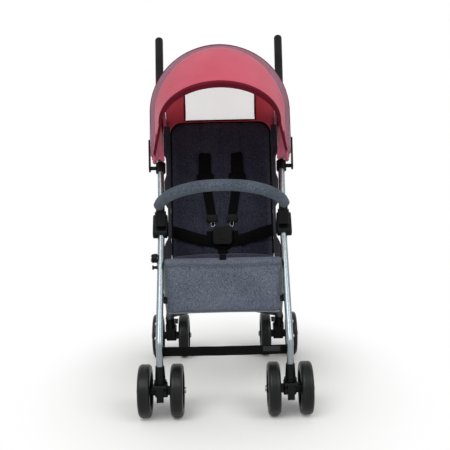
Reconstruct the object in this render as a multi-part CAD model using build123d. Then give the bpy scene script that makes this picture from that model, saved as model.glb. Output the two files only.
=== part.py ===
from build123d import *
import os
from math import cos, radians, sin, sqrt, tan

# Stance in millimetres. X runs across, the front faces -Y and Z is up from the floor.
wheel_base = 540.0
swivel_trail = 24.0
foot_half = 178.0
rear_half = 185.0
handle_half = 199.5
handle_y = 328.0
handle_z = 1084.0
bend_z = 212.0
bend_radius = 30.0
hinge_z = 506.0
pivot_offset = 30.0
fold_turn = 45.0

# Round steel tube of the frame.
tube_radius = 9.75
tube_wall = 1.5
rear_leg_radius = 9.5

# Clearances: a shaft in its bore, faces that pass each other, cloth on its neighbour.
run_gap = 0.08
play = 0.3
cloth_gap = 0.3

# Wheels, each pair on one axle.
wheel_radius = 73.0
tyre_width = 34.0
tyre_shoulder = 9.0
tread_groove = 1.6
pair_spacing = 89.0
rim_radius = 52.0
rim_width = 29.0
rim_wall = 6.0
web_thickness = 8.0
hub_radius = 13.0
hub_overhang = 3.0
spoke_count = 6
window_margin = 5.0
axle_radius = 4.0
axle_cap_radius = 8.5
axle_cap_height = 4.0

# Front caster and its swivel lock.
caster_width = 35.0
caster_top = 111.0
collar_height = 24.0
caster_round = 19.0
swivel_pin_radius = 5.0
swivel_pin_length = 44.0
lock_width = 19.0
lock_length = 40.0
lock_thickness = 6.0
lock_barrel = 5.0
lock_pin = 2.2
foot_socket_radius = 14.5
foot_socket_height = 40.0
foot_socket_floor = 8.0

# Rear block, brake and the crossed brace behind the rear legs.
block_width = 34.0
block_round = 19.0
block_sleeve = 14.0
block_reach = 100.0
leg_start = 30.0
pedal_width = 40.0
pedal_length = 48.0
pedal_thickness = 6.0
pedal_barrel = 6.0
pedal_pin = 2.5
pedal_rise = 24.0
pedal_back = 26.0
pedal_rib = 1.2
pedal_rib_end = 3.0
pedal_ear_width = 5.0
brace_low = 84.0
brace_rise = 124.0
bar_width = 18.0
bar_thickness = 3.0
bar_pin = 4.0
bar_head = 7.0
bar_head_height = 2.0
lug_width = 26.0
collar_size = 27.0
collar_length = 24.0
clip_size = 17.0
clip_depth = 4.0

# Fold housing and bumper socket on each side tube.
housing_cheek = 7.7
housing_round = 15.0
housing_half = 22.0
housing_edge = 3.0
hinge_pin_radius = 4.0
socket_width = 31.0
socket_length = 38.0
socket_height = 40.0
socket_forward = 22.0
socket_rise = 46.0
prong_width = 15.4
prong_depth = 11.4
prong_length = 30.0
button_radius = 6.0
button_length = 5.5
button_proud = 2.0

# Rivets on the outer side of the front legs, and the latch that holds the folded frame.
rivet_radius = 4.5
rivet_height = 2.5
rivet_heights = (226.0, 260.0)
latch_z = 422.0
latch_thickness = 5.0
latch_turn = 44.0
latch_barrel = 12.5
latch_jaw = 10.5
latch_pin = 4.0
stud_z = 368.0
stud_radius = 3.5
stud_flange = 7.0
flange_thickness = 2.0

# Handle grips.
grip_radius = 13.0
grip_length = 232.0
grip_nose = 8.0
grip_flange = 15.5
grip_flange_width = 5.0
grip_neck = 9.0
grip_rib_count = 6
grip_rib_pitch = 9.0

# Seat, backrest and calf rest.
bight_y = 60.0
bight_z = 372.0
seat_front_y = -168.0
seat_front_z = 416.0
seat_gap = 10.25
seat_crown = 20.0
seat_edge = 10.0
seat_under = 12.0
seat_corner = 6.0
back_lean = 14.2
back_length = 448.0
back_gap = 3.25
back_crown = 22.0
back_edge = 10.0
back_under = 6.0
back_corner = 42.0
back_barrel = 13.0
back_channels = (-66.0, 0.0, 66.0)
channel_radius = 3.5
calf_tilt = 4.0
calf_length = 152.0
calf_gap = 6.25
calf_crown = 12.5
calf_edge = 8.0
calf_under = 7.0
calf_corner = 14.0
calf_barrel = 15.2
barrel_inset = 2.0
pad_trim = 5.0
wing_thickness = 2.5
wing_top = 790.0
wing_front = 430.0

# Five-point harness.
strap_thickness = 2.5
strap_width = 29.0
shoulder_half = 50.0
shoulder_slot = 342.0
pad_at = 262.0
pad_width = 54.0
pad_height = 24.0
pad_thickness = 9.0
pad_corner = 4.0
sleeve_side = 2.0
sleeve_end = 3.0
adjuster_half = 31.0
adjuster_at = 132.0
adjuster_width = 34.0
adjuster_height = 24.0
tail_at = 112.0
buckle_at = 76.0
buckle_width = 62.0
buckle_height = 56.0
buckle_thickness = 17.0
buckle_button = 22.0
buckle_button_depth = 9.0
buckle_button_proud = 2.0
waist_width = 40.0
waist_thickness = 7.0
waist_rise = 14.0
crotch_reach = 196.0

# Bumper bar.
bumper_flare = 2.0
bumper_front = -255.0
bumper_z = 640.0
bumper_sag = 150.0
bumper_slope = 26.6
sleeve_radius = 18.0
core_radius = 8.0
knuckle_radius = 13.0

# Foot strap between the legs.
foot_strap_low = 175.0
foot_strap_height = 27.0
foot_strap_thickness = 2.4

# Canopy: arched panels that turn about the clamps on the push tubes. Curtain and window are placed from there.
canopy_z = 669.0
canopy_gap = 30.0
canopy_draw = 7.0
canopy_spring = 165.0
visor_draw = 42.0
visor_spring = 200.0
visor_steps = 4
canopy_start = 40.0
panel_thickness = 2.5
panel_step = 3.0
visor_front = 49.5
visor_back = 17.0
mid_back = -7.0
rear_back = -31.0
bow_radius = 2.0
bow_arm = 2.6
bow_sink = 0.3
bow_set_back = 2.0
bow_eye = 11.0
curtain_inset = 47.0
curtain_taper = 12.0
curtain_back = 184.0
curtain_low = 134.0
window_side = 46.0
window_low = 149.0
window_drop = 2.5
window_corner = 22.0
clamp_radius = 15.0
clamp_length = 30.0
canopy_pin = 6.0
tab_thickness = 5.0
tab_rise = 78.0
tab_back = 14.0
tab_low_round = 12.0
tab_high_round = 9.0


def across(sketch, middle, width):
    plane = Plane(origin=(middle - width / 2, 0, 0), x_dir=(0, 1, 0), z_dir=(1, 0, 0))
    return extrude(plane * sketch, width)


def rod(start, end, radius):
    run = end - start
    bar = Cylinder(radius, run.length, align=(Align.CENTER, Align.CENTER, Align.MIN))
    return Plane(origin=start, z_dir=run) * bar


def hull(*circles):
    return make_hull([edge for circle in circles for edge in circle.edges()])


def other_side(piece):
    return mirror(piece, about=Plane.YZ)


pieces = {}


def keep(name, *solids):
    shapes = [solid for item in solids for solid in item.solids()]
    pieces[name] = shapes[0] if len(shapes) == 1 else Compound(children=shapes)


def keep_pair(name, *solids):
    keep("right_" + name, *solids)
    keep("left_" + name, *[other_side(item) for item in solids])


# Reference points of the right side.
front_axle = Vector(foot_half, -wheel_base / 2, wheel_radius)
rear_axle = Vector(rear_half, wheel_base / 2, wheel_radius)
swivel_y = front_axle.Y - swivel_trail
foot = Vector(foot_half, swivel_y, bend_z)
slope = (handle_y - swivel_y) / (handle_z - bend_z)
hinge = Vector(foot_half, swivel_y + slope * (hinge_z - bend_z), hinge_z)
handle = Vector(handle_half, handle_y, handle_z)
push = (handle - hinge).normalized()
leg_rise = (hinge - foot).normalized()
back = Vector(0, leg_rise.Z, -leg_rise.Y)
pivot = Vector(rear_half, hinge.Y, hinge.Z) + back * pivot_offset
leg_up = (pivot - rear_axle).normalized()

# Room between the tubes, and the width of the fold housing round the tube and the rear leg.
side_in = min(foot_half - tube_radius, rear_half - rear_leg_radius)
housing_low = min(foot_half - tube_radius, rear_half - rear_leg_radius - play) - housing_cheek
housing_high = max(foot_half + tube_radius, rear_half + rear_leg_radius + play) + housing_cheek
housing_width = housing_high - housing_low
wing_out = housing_low - cloth_gap
seat_half = wing_out - seat_gap
back_half = side_in - back_gap
calf_half = side_in - calf_gap
bumper_half = foot_half + bumper_flare


def on_push(z):
    return hinge + push * ((z - hinge.Z) / push.Z)


# Tubes.
foot_low = caster_top + play + foot_socket_floor
leg_path = FilletPolyline((foot_half, swivel_y, foot_low), foot, hinge, radius=bend_radius)
leg_start_plane = Plane(origin=leg_path @ 0, z_dir=leg_path % 0)
leg_core = sweep(leg_start_plane * Circle(tube_radius), path=leg_path)
leg_bore = sweep(leg_start_plane * Circle(tube_radius - tube_wall), path=leg_path)
front_leg = leg_core - leg_bore

push_end = handle - push * grip_nose
push_core = rod(hinge, push_end, tube_radius)
push_tube = push_core - rod(hinge, push_end, tube_radius - tube_wall) - leg_core

rear_leg_low = rear_axle + leg_up * leg_start
rear_leg_core = rod(rear_leg_low, pivot, rear_leg_radius)
pin_line = Plane(origin=pivot, z_dir=(1, 0, 0))
rear_leg_core += pin_line * Cylinder(rear_leg_radius, 2 * rear_leg_radius)
rear_leg = rear_leg_core - rod(rear_leg_low, pivot - leg_up * 3 * rear_leg_radius, rear_leg_radius - tube_wall)
rear_leg -= pin_line * Cylinder(hinge_pin_radius + run_gap, 3 * rear_leg_radius)

# Fold housing: two cheeks behind the tube that carry the rear leg.
housing_frame = Plane(origin=hinge, x_dir=back, z_dir=(1, 0, 0))
housing_outline = hull(
    Pos(0, housing_half) * Circle(housing_round),
    Pos(0, -housing_half) * Circle(housing_round),
    Pos(pivot_offset, 0) * Circle(housing_round),
)
housing_core = extrude(housing_frame * Pos(0, 0, housing_low - foot_half) * housing_outline, housing_width)
housing_core = fillet(housing_core.faces().filter_by(Axis.X).edges(), housing_edge)
slot_start = pivot_offset - rear_leg_radius - 4 * play
slot = Pos(slot_start + housing_width, 0, rear_half - hinge.X) * Box(
    2 * housing_width, 6 * housing_half, 2 * (rear_leg_radius + play)
)
housing = housing_core - leg_core - push_core - housing_frame * slot
housing -= pin_line * Cylinder(hinge_pin_radius, 2 * housing_width)
pin_low = Vector(housing_low, pivot.Y, pivot.Z)
hinge_pin = rod(pin_low, pin_low + Vector(housing_width, 0, 0), hinge_pin_radius)

# Socket that takes the prong of the bumper bar, with its release button.
socket_y = hinge.Y - socket_forward
socket_top = hinge.Z + socket_rise
socket_box = Pos(foot_half, socket_y, socket_top) * Box(
    socket_width, socket_width, socket_height, align=(Align.CENTER, Align.CENTER, Align.MAX)
)
socket_web = Pos(foot_half, socket_y, socket_top - socket_height / 3) * Box(
    socket_width, socket_length, socket_height * 2 / 3, align=(Align.CENTER, Align.MIN, Align.MAX)
)
socket_box = fillet(socket_box.edges().filter_by(Axis.Z), housing_edge)
pocket = Pos(foot_half, socket_y, socket_top) * Box(
    prong_width + 2 * play, prong_depth + 2 * play, 2 * (prong_length + play)
)
button_z = socket_top - prong_length / 2
button_seat = Vector(foot_half, socket_y, button_z)
button_out = foot_half + socket_width / 2 + button_proud
button_hole = rod(button_seat, button_seat + Vector(socket_width, 0, 0), button_radius + run_gap)
socket = socket_box + socket_web - housing_core - leg_core - push_core - pocket - button_hole
socket = socket.solids().sort_by(SortBy.VOLUME)[-1]
button = rod(Vector(button_out - button_length, socket_y, button_z), Vector(button_out, socket_y, button_z), button_radius)
button = fillet(button.faces().sort_by(Axis.X)[-1].edges(), button_proud / 2)

# Foot socket and swivel pin at the lower end of the leg.
swivel = Vector(foot_half, swivel_y, 0)
socket_low = caster_top + play
foot_socket = Pos(foot_half, swivel_y, socket_low) * Cone(
    foot_socket_radius, tube_radius + 2.5, foot_socket_height, align=(Align.CENTER, Align.CENTER, Align.MIN)
)
pin_top = socket_low + foot_socket_floor
swivel_pin = rod(swivel + Vector(0, 0, pin_top - swivel_pin_length), swivel + Vector(0, 0, pin_top), swivel_pin_radius)
foot_socket = foot_socket - leg_core - swivel_pin

# Rivet heads that sit on the outer side of the leg.
rivets = []
for rivet_z in rivet_heights:
    seat_y = max(swivel_y, swivel_y + slope * (rivet_z - bend_z))
    rivet_seat = Vector(foot_half, seat_y, rivet_z)
    head = rod(rivet_seat, rivet_seat + Vector(tube_radius + rivet_height, 0, 0), rivet_radius)
    head = fillet(head.faces().sort_by(Axis.X)[-1].edges(), rivet_height * 0.6)
    rivets.append(head - leg_core)

# Grip: a moulded sleeve with a flange, ribs under the fingers and a round nose.
grip_frame = Plane(origin=handle - push * grip_length, z_dir=push)
grip_turn = Plane.XZ * make_face(Polyline(
    (0, 0), (grip_flange, 0), (grip_flange, grip_flange_width), (grip_radius, grip_neck),
    (grip_radius, grip_length), (0, grip_length), close=True,
))
grip = revolve(grip_turn, Axis.Z)
grip = fillet(grip.faces().sort_by(Axis.Z)[-1].edges(), grip_nose)
for rib in range(grip_rib_count):
    rib_z = grip_length * 0.42 + rib * grip_rib_pitch
    grip -= Pos(0, 0, rib_z) * (Cylinder(grip_radius + 1, 2) - Cylinder(grip_radius - 0.8, 2))
grip = grip_frame * grip - push_core

# Canopy clamp: a ring on the tube, a pivot stud and a thumb tab outside the cloth.
canopy_at = on_push(canopy_z)
canopy_half = canopy_at.X + canopy_gap
canopy_shoulder = canopy_half - canopy_draw
visor_shoulder = canopy_half - visor_draw
curtain_half = canopy_shoulder - curtain_inset
curtain_low_half = curtain_half - curtain_taper
window_half = curtain_half - window_side
curtain_y = canopy_at.Y + curtain_back
clamp_ring = rod(canopy_at - push * clamp_length / 2, canopy_at + push * clamp_length / 2, clamp_radius)
tab_x = canopy_half + 2 * play + tab_thickness / 2
clamp_stud = rod(canopy_at, Vector(tab_x, canopy_at.Y, canopy_at.Z), canopy_pin)
tab_outline = hull(
    Pos(canopy_at.Y, canopy_at.Z) * Circle(tab_low_round),
    Pos(canopy_at.Y + tab_back, canopy_at.Z + tab_rise) * Circle(tab_high_round),
)
tab = across(tab_outline, tab_x, tab_thickness)
clamp = clamp_ring + clamp_stud + tab - push_core

# Front caster: a moulded fork block that trails behind the swivel pin.
caster_outline = hull(
    Pos(front_axle.Y, front_axle.Z) * Circle(caster_round),
    Pos(swivel_y, caster_top - collar_height) * Circle(caster_round * 0.6),
    Pos(front_axle.Y, caster_top - collar_height) * Circle(caster_round * 0.6),
)
caster = across(caster_outline, foot_half, caster_width)
caster = fillet(caster.faces().filter_by(Axis.X).edges(), housing_edge)
caster += Pos(foot_half, swivel_y, caster_top) * Cylinder(
    caster_width / 2, collar_height, align=(Align.CENTER, Align.CENTER, Align.MAX)
)
lock_y = swivel_y - caster_width / 2 - lock_barrel - play
lock_z = caster_top - collar_height / 2
lock_line = Vector(foot_half, lock_y, lock_z)
ear_outline = hull(
    Pos(lock_y, lock_z) * Circle(lock_barrel),
    Pos(swivel_y, lock_z) * Circle(lock_barrel),
)
ear_width = (caster_width - lock_width) / 2 - play
for ear_side in (-1, 1):
    ear = across(ear_outline, foot_half + ear_side * (caster_width - ear_width) / 2, ear_width)
    caster += ear
caster += rod(lock_line - Vector(caster_width / 2 - 1, 0, 0), lock_line + Vector(caster_width / 2 - 1, 0, 0), lock_pin)
caster -= rod(swivel + Vector(0, 0, pin_top - swivel_pin_length - play), swivel + Vector(0, 0, pin_top), swivel_pin_radius + run_gap)
axle_half = pair_spacing / 2 + tyre_width / 2 + hub_overhang + play
caster -= rod(front_axle - Vector(axle_half, 0, 0), front_axle + Vector(axle_half, 0, 0), axle_radius)

lock_outline = hull(
    Pos(lock_y, lock_z) * Circle(lock_barrel),
    Pos(lock_y - 2, lock_z - lock_length) * Circle(lock_thickness / 2),
)
lock = across(lock_outline, foot_half, lock_width)
lock -= rod(lock_line - Vector(lock_width, 0, 0), lock_line + Vector(lock_width, 0, 0), lock_pin + run_gap)

# Rear block: a sleeve on the leg end, the axle boss and the lug of the crossed brace.
block_outline = hull(
    Pos(rear_axle.Y, rear_axle.Z) * Circle(block_round),
    Pos(rear_axle.Y + leg_up.Y * leg_start * 1.5, rear_axle.Z + leg_up.Z * leg_start * 1.5) * Circle(block_sleeve),
)
block_core = across(block_outline, rear_half, block_width)
block_core = fillet(block_core.faces().filter_by(Axis.X).edges(), housing_edge)
block_core += rod(rear_axle + leg_up * leg_start, rear_axle + leg_up * block_reach, block_sleeve)
pedal_y = rear_axle.Y + pedal_back
pedal_z = rear_axle.Z + pedal_rise
pedal_line = Vector(rear_half, pedal_y, pedal_z)
pedal_ear = hull(
    Pos(pedal_y, pedal_z) * Circle(pedal_barrel),
    Pos(rear_axle.Y, rear_axle.Z) * Circle(pedal_barrel),
    Pos(rear_axle.Y, pedal_z) * Circle(pedal_barrel),
)
pedal_slot = block_width - 2 * pedal_ear_width
for ear_side in (-1, 1):
    block_core += across(pedal_ear, rear_half + ear_side * (block_width - pedal_ear_width) / 2, pedal_ear_width)
block_core -= across(
    Pos(pedal_y, pedal_z) * Circle(pedal_barrel + 2 * play), rear_half, pedal_slot
)
block_core += rod(
    pedal_line - Vector(block_width / 2 - 1, 0, 0), pedal_line + Vector(block_width / 2 - 1, 0, 0), pedal_pin
)
block_core -= rear_leg_core
block_core -= rod(rear_axle - Vector(axle_half, 0, 0), rear_axle + Vector(axle_half, 0, 0), axle_radius)

# Brake pedal between the wheels of a pair, with three grip ribs.
pedal_tip = Pos(pedal_y + pedal_length, pedal_z + pedal_rise / 2) * Circle(pedal_thickness / 2)
pedal_outline = hull(Pos(pedal_y, pedal_z) * Circle(pedal_barrel), pedal_tip)
pedal_root = across(pedal_outline, rear_half, pedal_slot - 2 * play)
pedal_face = hull(
    Pos(pedal_y + pedal_length / 2, pedal_z + pedal_rise / 4) * Circle(pedal_thickness / 2),
    pedal_tip,
)
pedal = pedal_root + across(pedal_face, rear_half, pedal_width)
for rib in range(3):
    rib_share = 0.62 + 0.16 * rib
    rib_at = Pos(pedal_y + pedal_length * rib_share, pedal_z + pedal_rise / 2 * rib_share + pedal_thickness / 2)
    pedal += across(rib_at * Circle(pedal_rib), rear_half, pedal_width - 2 * pedal_rib_end)
pedal -= rod(pedal_line - Vector(pedal_width, 0, 0), pedal_line + Vector(pedal_width, 0, 0), pedal_pin + run_gap)

# Crossed brace: flat bars behind the rear legs, each pinned low on one leg and led by a collar on the other.
brace_plane = Plane(origin=(0, rear_axle.Y, rear_axle.Z), x_dir=(1, 0, 0), z_dir=Vector(1, 0, 0).cross(leg_up))


near_pad = block_sleeve + bar_head_height
far_pad = near_pad + bar_thickness + play
bar_pin_low = rear_leg_radius + 2 * play


def rear_block(pad):
    lug = Pos(rear_half, brace_low, -pad / 2) * Box(lug_width, lug_width, pad)
    pin_hole = Pos(rear_half, brace_low, play - bar_pin_low) * Cylinder(
        bar_pin + run_gap, 2 * pad, align=(Align.CENTER, Align.CENTER, Align.MAX)
    )
    return block_core + brace_plane * lug - rear_leg_core - brace_plane * pin_hole


def brace_bar(pad, clip):
    bar_low = -pad - play - bar_thickness
    start = Pos(rear_half, brace_low) * Circle(bar_width / 2)
    end = Pos(-rear_half, brace_low + brace_rise) * Circle(bar_width / 2)
    bar = extrude(Pos(0, 0, bar_low) * hull(start, end), bar_thickness)
    for at in (start, end):
        rivet = at.center()
        bar += Pos(rivet.X, rivet.Y, bar_low) * Cylinder(
            bar_head, bar_head_height, align=(Align.CENTER, Align.CENTER, Align.MAX)
        )
    bar += Pos(rear_half, brace_low, -bar_pin_low) * Cylinder(
        bar_pin, -bar_low - bar_pin_low, align=(Align.CENTER, Align.CENTER, Align.MAX)
    )
    if clip:
        bar += Pos(0, brace_low + brace_rise / 2, bar_low + bar_thickness) * Box(
            clip_size, clip_size, clip_depth, align=(Align.CENTER, Align.CENTER, Align.MIN)
        )
    return brace_plane * bar


right_block = rear_block(near_pad)
left_block = rear_block(far_pad)
right_bar = brace_bar(near_pad, True)
left_bar = brace_bar(far_pad, False)


def guide_collar(pad):
    at_y = brace_low + brace_rise
    body = Pos(rear_half, at_y, 0) * Box(collar_size, collar_length, collar_size)
    body = fillet(body.edges().filter_by(Axis.Y), housing_edge)
    body += Pos(rear_half, at_y, -pad / 2) * Box(collar_size - 2 * housing_edge, collar_length, pad)
    body -= Pos(rear_half, at_y, 0) * Rot(90, 0, 0) * Cylinder(rear_leg_radius + run_gap, 2 * collar_length)
    return brace_plane * body


# Each bar ends on the collar of the far leg, so a collar's pad meets the level of that bar.
# The left collar is slotted on its outer side, where it passes the stud of the latch.
right_collar = guide_collar(far_pad)
left_collar = guide_collar(near_pad)
stud_way = Box(collar_size, 2 * collar_length, 2 * (stud_radius + 2 * play))
left_collar -= brace_plane * Pos(rear_half + collar_size / 2, brace_low + brace_rise, 0) * stud_way

# Wheels.
tyre_face = Pos(0, (rim_radius + wheel_radius) / 2) * Rectangle(tyre_width, wheel_radius - rim_radius)
tyre_face = fillet(tyre_face.vertices().group_by(Axis.Y)[-1], tyre_shoulder)
for groove_side in (-1, 1):
    tyre_face -= Pos(groove_side * tyre_width / 9, wheel_radius) * Rectangle(tread_groove, 2 * tread_groove)
tyre = revolve(tyre_face, Axis.X)

hub_face = Pos(0, rim_radius - rim_wall / 2) * Rectangle(rim_width, rim_wall)
hub_face += Pos(0, rim_radius / 2) * Rectangle(web_thickness, rim_radius - rim_wall)
hub_in = pair_spacing / 2 - max(caster_width, block_width) / 2 - play
hub_out = tyre_width / 2 + hub_overhang
hub_face += Pos((hub_out - hub_in) / 2, hub_radius / 2) * Rectangle(hub_out + hub_in, hub_radius)
hub = revolve(hub_face, Axis.X)
window_in = hub_radius + window_margin
window_out = rim_radius - rim_wall - window_margin
window_share = tan(radians(180 / spoke_count)) * 0.62
hub_window = make_face(Polyline(
    (window_in, -window_in * window_share), (window_out, -window_out * window_share),
    (window_out, window_out * window_share), (window_in, window_in * window_share), close=True,
))
hub_window = fillet(hub_window.vertices(), window_margin * 0.8)
for spoke in range(spoke_count):
    hub -= Rot(360 / spoke_count * spoke, 0, 0) * extrude(Plane.YZ * hub_window, rim_width, both=True)
hub -= Rot(0, 90, 0) * Cylinder(axle_radius + run_gap, 4 * tyre_width)


def wheel_pair(centre, piece):
    out = Pos(centre.X + pair_spacing / 2, centre.Y, centre.Z) * piece
    inner = Pos(centre.X - pair_spacing / 2, centre.Y, centre.Z) * Rot(0, 0, 180) * piece
    return out, inner


def axle_rod(centre):
    half = Vector(axle_half, 0, 0)
    axle = rod(centre - half, centre + half, axle_radius)
    for side in (-1, 1):
        cap = rod(centre + half * side, centre + (half + Vector(axle_cap_height, 0, 0)) * side, axle_cap_radius)
        tip = cap.faces().sort_by(Axis.X)[-1 if side > 0 else 0]
        axle += fillet(tip.edges(), axle_cap_height / 2)
    return axle


# Latch lever on the left leg. Turned down on the folded frame, its jaw hooks the stud of the left rear leg.
stud_seat = rear_axle + leg_up * ((stud_z - rear_axle.Z) / leg_up.Z)
boss_in = foot_half + tube_radius + play
latch_in = max(rear_half + collar_size / 2, boss_in) + 2 * play
latch_out = latch_in + latch_thickness
stud = rod(stud_seat, Vector(latch_out + play, stud_seat.Y, stud_seat.Z), stud_radius)
stud += rod(
    Vector(latch_out + play, stud_seat.Y, stud_seat.Z),
    Vector(latch_out + play + flange_thickness, stud_seat.Y, stud_seat.Z), stud_flange,
)
left_rear_leg = rear_leg + (stud - rear_leg_core)


def turned(point, centre, angle):
    arm = (point - centre).rotate(Axis.X, angle)
    return centre + arm


latch_seat = Vector(foot_half, swivel_y + slope * (latch_z - bend_z), latch_z)
stud_folded = turned(stud_seat, pivot, -fold_turn)
jaw = turned(stud_folded, latch_seat, latch_turn)
latch_outline = hull(
    Pos(latch_seat.Y, latch_seat.Z) * Circle(latch_barrel),
    Pos(jaw.Y, jaw.Z) * Circle(latch_jaw),
)
lever = jaw - latch_seat
mouth = jaw + Vector(0, lever.Z, -lever.Y).normalized() * 2 * latch_jaw
jaw_mouth = hull(
    Pos(jaw.Y, jaw.Z) * Circle(stud_radius + play),
    Pos(mouth.Y, mouth.Z) * Circle(stud_flange + play),
)
latch = across(latch_outline - jaw_mouth, latch_in + latch_thickness / 2, latch_thickness)
boss_seat = Vector(boss_in, latch_seat.Y, latch_seat.Z)
latch += rod(boss_seat, Vector(latch_out, latch_seat.Y, latch_seat.Z), latch_barrel)
latch -= rod(latch_seat, Vector(2 * latch_out, latch_seat.Y, latch_seat.Z), latch_pin + run_gap)
latch_rivet = rod(latch_seat, Vector(latch_out + play, latch_seat.Y, latch_seat.Z), latch_pin)
latch_rivet += rod(
    Vector(latch_out + play, latch_seat.Y, latch_seat.Z),
    Vector(latch_out + play + flange_thickness, latch_seat.Y, latch_seat.Z), latch_barrel * 0.75,
)
latch_rivet -= leg_core

# Soft seat parts. A pad is crowned across and has rounded far corners.


def pad_frame(y, z, along_y, along_z, face_up):
    return Plane(origin=(0, y, z), x_dir=(face_up, 0, 0), z_dir=(0, along_y, along_z))


def crown_height(x, half, edge, crown):
    bow = (half * half + (crown - edge) ** 2) / (2 * (crown - edge))
    return crown - bow + sqrt(bow * bow - x * x)


def pad(frame, length, half, edge, crown, under, corner, channels):
    reach = half + pad_trim
    rim = crown_height(reach, half, edge, crown)
    section = make_face([
        Polyline((reach, rim), (reach, -under), (-reach, -under), (-reach, rim)),
        ThreePointArc((-reach, rim), (0, crown), (reach, rim)),
    ])
    body = extrude(frame * section, length + pad_trim)
    for x in channels:
        groove = Pos(x, crown_height(x, half, edge, crown), 0) * Cylinder(
            channel_radius, 3 * length, align=Align.CENTER
        )
        body -= frame * groove
    outline = Pos(0, length / 2 - corner) * RectangleRounded(2 * half, length + 2 * corner, corner)
    face_plane = Plane(origin=frame.origin, x_dir=frame.x_dir, z_dir=frame.y_dir * -1)
    if face_plane.y_dir.dot(frame.z_dir) < 0:
        face_plane = Plane(origin=frame.origin, x_dir=frame.x_dir, z_dir=frame.y_dir)
    return body & extrude(face_plane * outline, 4 * crown, both=True)


back_frame = pad_frame(bight_y, bight_z, sin(radians(back_lean)), cos(radians(back_lean)), -1)
backrest = pad(back_frame, back_length, back_half, back_edge, back_crown, back_under, back_corner, back_channels)
backrest += Pos(0, bight_y, bight_z) * Rot(0, 90, 0) * Cylinder(back_barrel, 2 * (back_half - barrel_inset))

seat_run = Vector(0, seat_front_y - bight_y, seat_front_z - bight_z)
seat_along = seat_run.normalized()
seat_frame = pad_frame(bight_y, bight_z, seat_along.Y, seat_along.Z, 1)
seat_pad = pad(seat_frame, seat_run.length, seat_half, seat_edge, seat_crown, seat_under, seat_corner, ())
seat_pad -= Pos(0, bight_y, bight_z) * Rot(0, 90, 0) * Cylinder(back_barrel + cloth_gap, 3 * back_half)
seat_pad -= back_frame * Box(4 * back_half, 2 * (back_crown + cloth_gap), 4 * back_length)

calf_frame = pad_frame(seat_front_y, seat_front_z, -sin(radians(calf_tilt)), -cos(radians(calf_tilt)), 1)
calf_rest = pad(calf_frame, calf_length, calf_half, calf_edge, calf_crown, calf_under, calf_corner, ())
calf_rest += Pos(0, seat_front_y, seat_front_z) * Rot(0, 90, 0) * Cylinder(
    calf_barrel, 2 * (calf_half - barrel_inset)
)
seat_pad -= Pos(0, seat_front_y, seat_front_z) * Rot(0, 90, 0) * Cylinder(
    calf_barrel + cloth_gap, 3 * calf_half
)

# Side wings of the seat cover rise from the cushion beside the housings to the top of the backrest.


def back_point(length, height):
    origin = back_frame.origin + back_frame.z_dir * length + back_frame.y_dir * height
    return origin.Y, origin.Z


def seat_point(length, height):
    origin = seat_frame.origin + seat_frame.z_dir * length + seat_frame.y_dir * height
    return origin.Y, origin.Z


wing_reach = (wing_top - bight_z) / cos(radians(back_lean))
wing_low = hinge.Y + slope * (wing_front - hinge.Z)
wing_high = hinge.Y + slope * (wing_top - hinge.Z)
wing_rear = back_crown + 2 * cloth_gap
wing_line = make_face(Polyline(
    seat_point(back_crown + cloth_gap, 0), seat_point(seat_run.length * 0.86, 0),
    (wing_low, wing_front), (wing_high, wing_top), back_point(wing_reach, wing_rear), close=True,
))
wing = across(wing_line, wing_out - wing_thickness / 2, wing_thickness)
gusset_line = make_face(Polyline(
    seat_point(back_crown + 4 * cloth_gap, -seat_under), seat_point(seat_run.length * 0.86, -seat_under),
    seat_point(seat_run.length * 0.86, seat_edge), seat_point(back_crown + 4 * cloth_gap, seat_edge), close=True,
))
gusset = across(gusset_line, seat_half + (wing_out - seat_half) / 2, wing_out - seat_half)
seat = seat_pad + wing + other_side(wing) + gusset + other_side(gusset)

# Shoulder straps lie on the backrest and run down to their adjusters.
strap_level = back_crown + cloth_gap
strap_plane = Plane(
    origin=back_frame.origin + back_frame.y_dir * strap_level, x_dir=(1, 0, 0), z_dir=back_frame.y_dir
)


def flat(outline, depth):
    return extrude(strap_plane * outline, depth)


strap_up = make_face(Polyline(
    (shoulder_half - strap_width / 2, shoulder_slot), (shoulder_half + strap_width / 2, shoulder_slot),
    (shoulder_half + strap_width / 2, pad_at), (shoulder_half - strap_width / 2, pad_at), close=True,
))
strap_down = make_face(Polyline(
    (shoulder_half - strap_width / 2, pad_at), (shoulder_half + strap_width / 2, pad_at),
    (adjuster_half + strap_width / 2, adjuster_at), (adjuster_half - strap_width / 2, adjuster_at), close=True,
))
strap_pad = Pos(shoulder_half, pad_at) * RectangleRounded(pad_width, pad_height, pad_corner)
strap_sleeve = Pos(shoulder_half, (shoulder_slot + pad_at) / 2) * RectangleRounded(
    strap_width + 2 * sleeve_side, shoulder_slot - pad_at - 2 * sleeve_end, pad_corner
)
adjuster = Pos(adjuster_half, adjuster_at) * RectangleRounded(adjuster_width, adjuster_height, pad_corner)
strap_tail = make_face(Polyline(
    (adjuster_half - strap_width / 4, adjuster_at), (adjuster_half + strap_width / 4, adjuster_at),
    (adjuster_half - 2 + strap_width / 4, tail_at), (adjuster_half - 2 - strap_width / 4, tail_at), close=True,
))
shoulder = flat(strap_up, strap_thickness) + flat(strap_down, strap_thickness)
shoulder += flat(strap_sleeve, pad_thickness * 0.7) + flat(strap_pad, pad_thickness)
shoulder += flat(adjuster, strap_thickness * 2.4) + flat(strap_tail, strap_thickness)

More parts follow.
